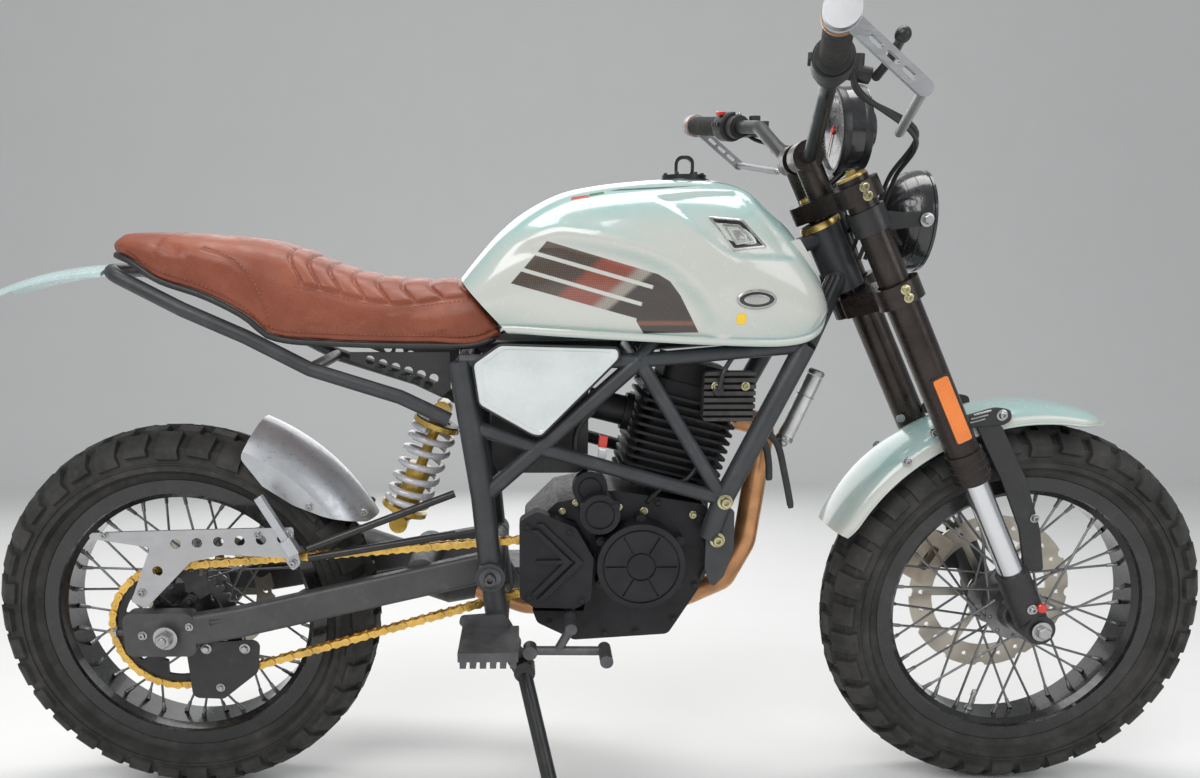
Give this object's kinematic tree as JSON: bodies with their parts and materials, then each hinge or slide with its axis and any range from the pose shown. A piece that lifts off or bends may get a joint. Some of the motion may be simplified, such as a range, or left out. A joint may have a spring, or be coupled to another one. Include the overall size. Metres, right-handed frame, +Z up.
{
  "type": "scrambler motorcycle",
  "caption": "Light scrambler motorcycle with wire-spoked block-tread wheels, tubular trellis frame, finned single engine, teardrop tank and ribbed leather seat, leaning on its side stand.",
  "frame": {"origin": "on the floor, below the middle of the parked machine's bounding box", "axes": "+X forward along the machine, +Y towards its brake side, +Z up from the floor; the machine leans towards -Y on its side stand"},
  "size_m": [2.0116, 0.939, 1.2181],
  "materials": {
    "frame_paint": "satin",
    "swingarm_paint": "satin",
    "shock_paint": "gloss",
    "spring_paint": "gloss",
    "engine_black": "satin",
    "copper_pipe": "burnished",
    "muffler_black": "matte",
    "fin_grey": "cast",
    "bright_alloy": "satin",
    "black_plastic": "matte",
    "cast_alloy": "cast",
    "pearl_paint": "pearl gloss",
    "black_metal": "satin",
    "seat_leather": "satin",
    "white_panel": "gloss",
    "mint_plastic": "gloss",
    "gold_chain": "satin",
    "guard_alloy": "brushed",
    "silver_plastic": "silver paint",
    "fork_bronze": "satin",
    "chrome": "polished",
    "cast_black": "satin",
    "grip_rubber": "matte",
    "gauge_black": "gloss",
    "lamp_glass": "clear",
    "brake_tan": "anodised",
    "tyre_rubber": "matte",
    "rim_black": "gloss",
    "spoke_steel": "dark",
    "disc_steel": "ground",
    "sprocket_black": "satin",
    "hose_rubber": "satin"
  },
  "bodies": {
    "root": {"frame_left": "frame_paint", "frame_right": "frame_paint", "frame_centre": "frame_paint", "subframe": "frame_paint", "swingarm": "swingarm_paint", "shock_body": "shock_paint", "shock_spring": "spring_paint", "crankcase": "engine_black", "cylinder": "engine_black", "engine_covers": "engine_black", "sprocket_cover": "engine_black", "clutch_cover": "engine_black", "exhaust_header": "copper_pipe", "muffler": "muffler_black", "regulator": "fin_grey", "canister": "bright_alloy", "airbox": "black_plastic", "footrests": "cast_alloy", "foot_levers": "cast_alloy", "tank": "pearl_paint", "fuel_cap": "black_metal", "seat": "seat_leather", "side_covers": "white_panel", "vent_panels": "black_plastic", "tail_fender": "mint_plastic", "chain": "gold_chain", "chain_guard": "guard_alloy", "chain_guide": "black_plastic", "hugger": "silver_plastic", "hugger_stays": "black_metal", "rear_caliper": "black_metal"},
    "steering": {"fork_tubes": "fork_bronze", "stanchions": "chrome", "axle_castings": "cast_black", "upper_yoke": "fork_bronze", "lower_yoke": "fork_bronze", "handlebar": "black_metal", "grips": "grip_rubber", "switchgear": "black_plastic", "levers": "black_metal", "bar_guards": "guard_alloy", "instrument": "gauge_black", "headlight": "gauge_black", "headlight_lens": "lamp_glass", "headlight_bracket": "black_metal", "front_fender": "mint_plastic", "fender_stays": "black_metal", "front_caliper": "brake_tan", "brake_hose": "hose_rubber"},
    "front_wheel": {"front_tyre": "tyre_rubber", "front_rim": "rim_black", "front_hub": "spoke_steel", "front_disc": "disc_steel"},
    "rear_wheel": {"rear_tyre": "tyre_rubber", "rear_rim": "rim_black", "rear_hub": "spoke_steel", "rear_sprocket": "sprocket_black", "rear_disc": "disc_steel"},
    "side_stand": {"side_stand": "black_metal"}
  },
  "joints": [
    {"name": "steer", "type": "hinge", "parent": "root", "child": "steering", "pos_m": [0.3517, 0.03284, 0.89209], "axis": [-0.4478, -0.1244, 0.8855], "range_deg": [-32, 32]},
    {"name": "front_wheel_spin", "type": "hinge", "parent": "steering", "child": "front_wheel", "pos_m": [0.69, 0.11412, 0.31377], "axis": [0, 0.9903, 0.1392], "continuous": true},
    {"name": "rear_wheel_spin", "type": "hinge", "parent": "root", "child": "rear_wheel", "pos_m": [-0.69, 0.11412, 0.31377], "axis": [0, 0.9903, 0.1392], "continuous": true},
    {"name": "stand_fold", "type": "hinge", "parent": "root", "child": "side_stand", "pos_m": [-0.13, 0.01156, 0.23877], "axis": [0, 0.9903, 0.1392], "range_deg": [0, 92]}
  ]
}
